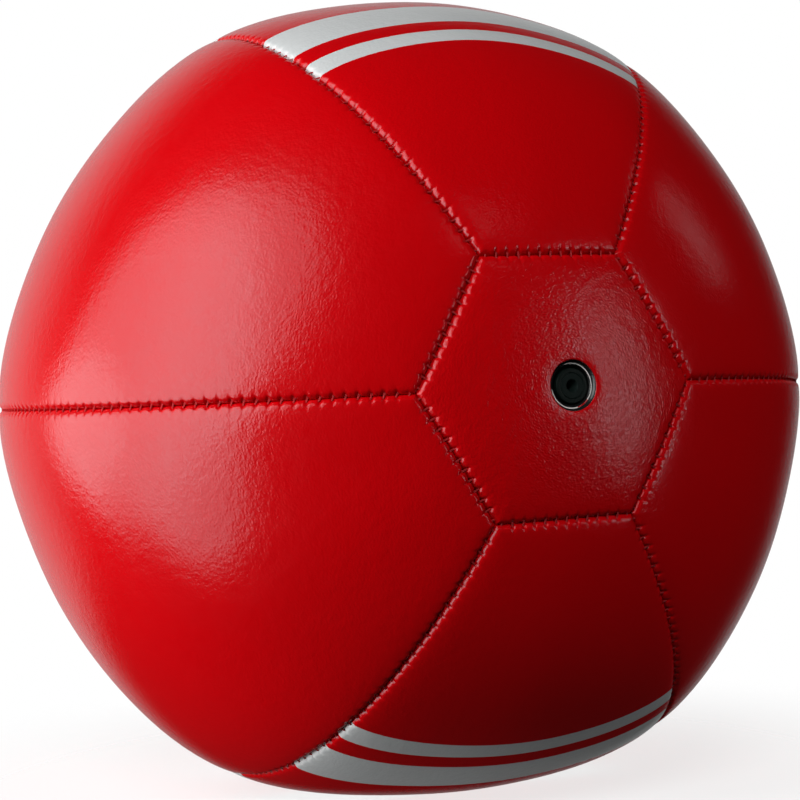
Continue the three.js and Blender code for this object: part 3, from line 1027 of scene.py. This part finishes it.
def towards(azimuth, elevation):      # azimuth 0 is the valve's side
    level = math.cos(elevation)
    return Vector((math.sin(azimuth) * level, -math.cos(azimuth) * level, math.sin(elevation)))


def makeCamera():
    back = towards(camera["azimuth"], camera["elevation"])
    right = Vector((math.cos(camera["azimuth"]), math.sin(camera["azimuth"]), 0))
    turn = Matrix((right, back.cross(right), back)).transposed() @ Matrix.Rotation(camera["roll"], 3, "Z")
    data = bpy.data.cameras.new("camera")
    data.lens = camera["lens"]
    data.sensor_width = camera["sensor"]
    data.shift_x, data.shift_y = camera["shift"]
    data.clip_start = camera["near"]
    seen = bpy.data.objects.new("camera", data)
    seen.matrix_world = Matrix.Translation(back * camera["distance"]) @ turn.to_4x4()
    bpy.context.scene.collection.objects.link(seen)
    bpy.context.scene.camera = seen


lamp = {"distance": 1.0, "aside": (0.0, 0.0), "size": (0.4, 0.4), "lean": 0}    # unless told otherwise
key = {"azimuth": -78, "elevation": 7, "distance": 0.91}    # the plane of its three patches
sheenLights = {                       # seen in the gloss alone: degrees, metres, watts
    "keyWide": {**key, "aside": (0.05, 0.19), "size": (2.1, 1.13), "lean": 39, "watts": 10.1},
    "keyMiddle": {**key, "aside": (0.07, 0.05), "size": (1.62, 0.98), "lean": 92, "watts": 8.7},
    "keyLow": {**key, "aside": (-0.63, -0.18), "size": (0.96, 0.64), "lean": 12, "watts": 2.6},
    "frontStrip": {"azimuth": 36, "elevation": 3, "size": (0.09, 0.55), "lean": 12, "watts": 0.53},
    "sideStrip": {"azimuth": 74, "elevation": 25, "size": (0.08, 0.32), "lean": 17, "watts": 0.06},
    "topPatch": {"azimuth": 13, "elevation": 34, "size": (0.17, 0.08), "lean": -14, "watts": 0.023},
}
washLights = {                        # for the dull red alone
    "leftSide": {"azimuth": -90, "elevation": 0, "watts": 6.1},
    "leftAbove": {"azimuth": -75, "elevation": 30, "watts": 3.4},
    "leftBelow": {"azimuth": -135, "elevation": -45, "watts": 6.8},
    "frontAbove": {"azimuth": -30, "elevation": 30, "watts": 4.6},
    "rightSide": {"azimuth": 90, "elevation": 0, "watts": 2.4},
    "rightBelow": {"azimuth": 105, "elevation": -45, "watts": 1.9},
}


def makeLight(name, light, glossy):
    azimuth, elevation = math.radians(light["azimuth"]), math.radians(light["elevation"])
    aim = towards(azimuth, elevation)
    right = Vector((math.cos(azimuth), math.sin(azimuth), 0))
    data = bpy.data.lights.new(name, "AREA")
    data.shape = "ELLIPSE"
    data.size, data.size_y = light["size"]
    data.energy = light["watts"]
    data.cycles.use_multiple_importance_sampling = glossy     # keeps the dull lamps out of the gloss
    lit = bpy.data.objects.new(name, data)
    across, above = light["aside"]
    lit.location = aim * light["distance"] + right * across + aim.cross(right) * above
    turn = aim.to_track_quat("Z", "Y").to_matrix() @ Matrix.Rotation(math.radians(light["lean"]), 3, "Z")
    lit.rotation_euler = turn.to_euler()
    lit.visible_camera = False
    lit.visible_glossy = glossy
    lit.visible_diffuse = not glossy
    bpy.context.scene.collection.objects.link(lit)


def makeLights():
    for lights, glossy in ((sheenLights, True), (washLights, False)):
        for name, light in lights.items():
            makeLight(name, {**lamp, **light}, glossy)


room = {
    "front": 0.005,                   # brightness of the dim side that the camera stands on
    "behind": 0.49,                   # of the pale wall behind the ball
    "wallAzimuth": 176,               # degrees, of that wall's middle
    "wallEdge": (0.47, 0.87),         # cosines between which it fades in
    "horizon": (-0.48, -0.3),         # the wall fades out below
    "onDull": (0.0, 0.3),             # what either side adds to dull surfaces
}


def seenDirectly(tree):               # 1 for what the camera sees, also by way of glass
    ray = newNode(tree, "ShaderNodeLightPath").outputs
    return calc(tree, "MAXIMUM", ray["Is Camera Ray"], ray["Is Transmission Ray"])


def ramp(tree, value, start, end, first, last):
    node = newNode(tree, "ShaderNodeMapRange", interpolation_type="SMOOTHSTEP")
    for socket, item in zip(node.inputs, (value, start, end, first, last)):
        plug(tree, socket, item)
    return node.outputs[0]


def makeRoom():
    world = bpy.data.worlds.new("studio")
    bpy.context.scene.world = world
    world.use_nodes = True
    tree = world.node_tree
    background = tree.nodes["Background"]
    background.inputs["Color"].default_value = (1, 1, 1, 1)
    way = newNode(tree, "ShaderNodeTexCoord").outputs["Generated"]
    split = newNode(tree, "ShaderNodeSeparateXYZ")
    tree.links.new(way, split.inputs[0])
    x, y, z = split.outputs
    facing = newNode(tree, "ShaderNodeVectorMath", operation="DOT_PRODUCT")
    tree.links.new(way, facing.inputs[0])
    facing.inputs[1].default_value = towards(math.radians(room["wallAzimuth"]), 0)
    glow = ramp(tree, facing.outputs["Value"], *room["wallEdge"], 0.0, room["behind"])
    glow = calc(tree, "MULTIPLY", glow, ramp(tree, z, *room["horizon"], 0.0, 1.0))
    isGlossy = newNode(tree, "ShaderNodeLightPath").outputs["Is Glossy Ray"]
    glossy = calc(tree, "MULTIPLY", calc(tree, "ADD", glow, room["front"]), isGlossy)
    dull = ramp(tree, y, 0.0, 1.0, *room["onDull"])
    lit = calc(tree, "MULTIPLY_ADD", dull, calc(tree, "SUBTRACT", 1.0, isGlossy), glossy)
    tree.links.new(calc(tree, "MAXIMUM", lit, seenDirectly(tree)), background.inputs["Strength"])


floor = {
    "half": 0.6,
    "pale": (0.85, 0.85, 0.85, 1),    # as the camera sees it
    "bounce": (0.03, 0.03, 0.03, 1),  # as it lights the ball
    "glow": 0.4,                      # lifts it towards the white of the room
    "solid": 0.07,                    # from the ball's foot outwards it pales out into the white room
    "gone": 0.22,
    "cover": 0.42,                    # how much of the white room it hides
    "roughness": 0.9,
    "specular": 0.1,
}


def makeFloor():
    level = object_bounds()[0].z
    half = floor["half"]
    mesh = bpy.data.meshes.new("floor")
    corners = [(-half, -half, level), (half, -half, level), (half, half, level), (-half, half, level)]
    mesh.from_pydata(corners, [], [(0, 1, 2, 3)])
    ground = bpy.data.objects.new("floor", mesh)
    bpy.context.scene.collection.objects.link(ground)
    material, tree, shader = newMaterial("paleFloor")
    seen = seenDirectly(tree)
    tree.links.new(blend(tree, seen, floor["bounce"], floor["pale"]), shader.inputs["Base Color"])
    shader.inputs["Roughness"].default_value = floor["roughness"]
    shader.inputs["Specular IOR Level"].default_value = floor["specular"]
    shader.inputs["Emission Color"].default_value = (1, 1, 1, 1)
    tree.links.new(calc(tree, "MULTIPLY", seen, floor["glow"]), shader.inputs["Emission Strength"])
    foot = newNode(tree, "ShaderNodeVectorMath", operation="DISTANCE")
    tree.links.new(objectPlace(tree), foot.inputs[0])
    foot.inputs[1].default_value = (0, 0, level)
    fade = ramp(tree, foot.outputs["Value"], floor["solid"], floor["gone"], floor["cover"], 0.0)
    tree.links.new(fade, shader.inputs["Alpha"])
    mesh.materials.append(material)


makeCamera()
makeLights()
makeRoom()
makeFloor()
bpy.context.scene.view_settings.view_transform = "Standard"
print("studio set")
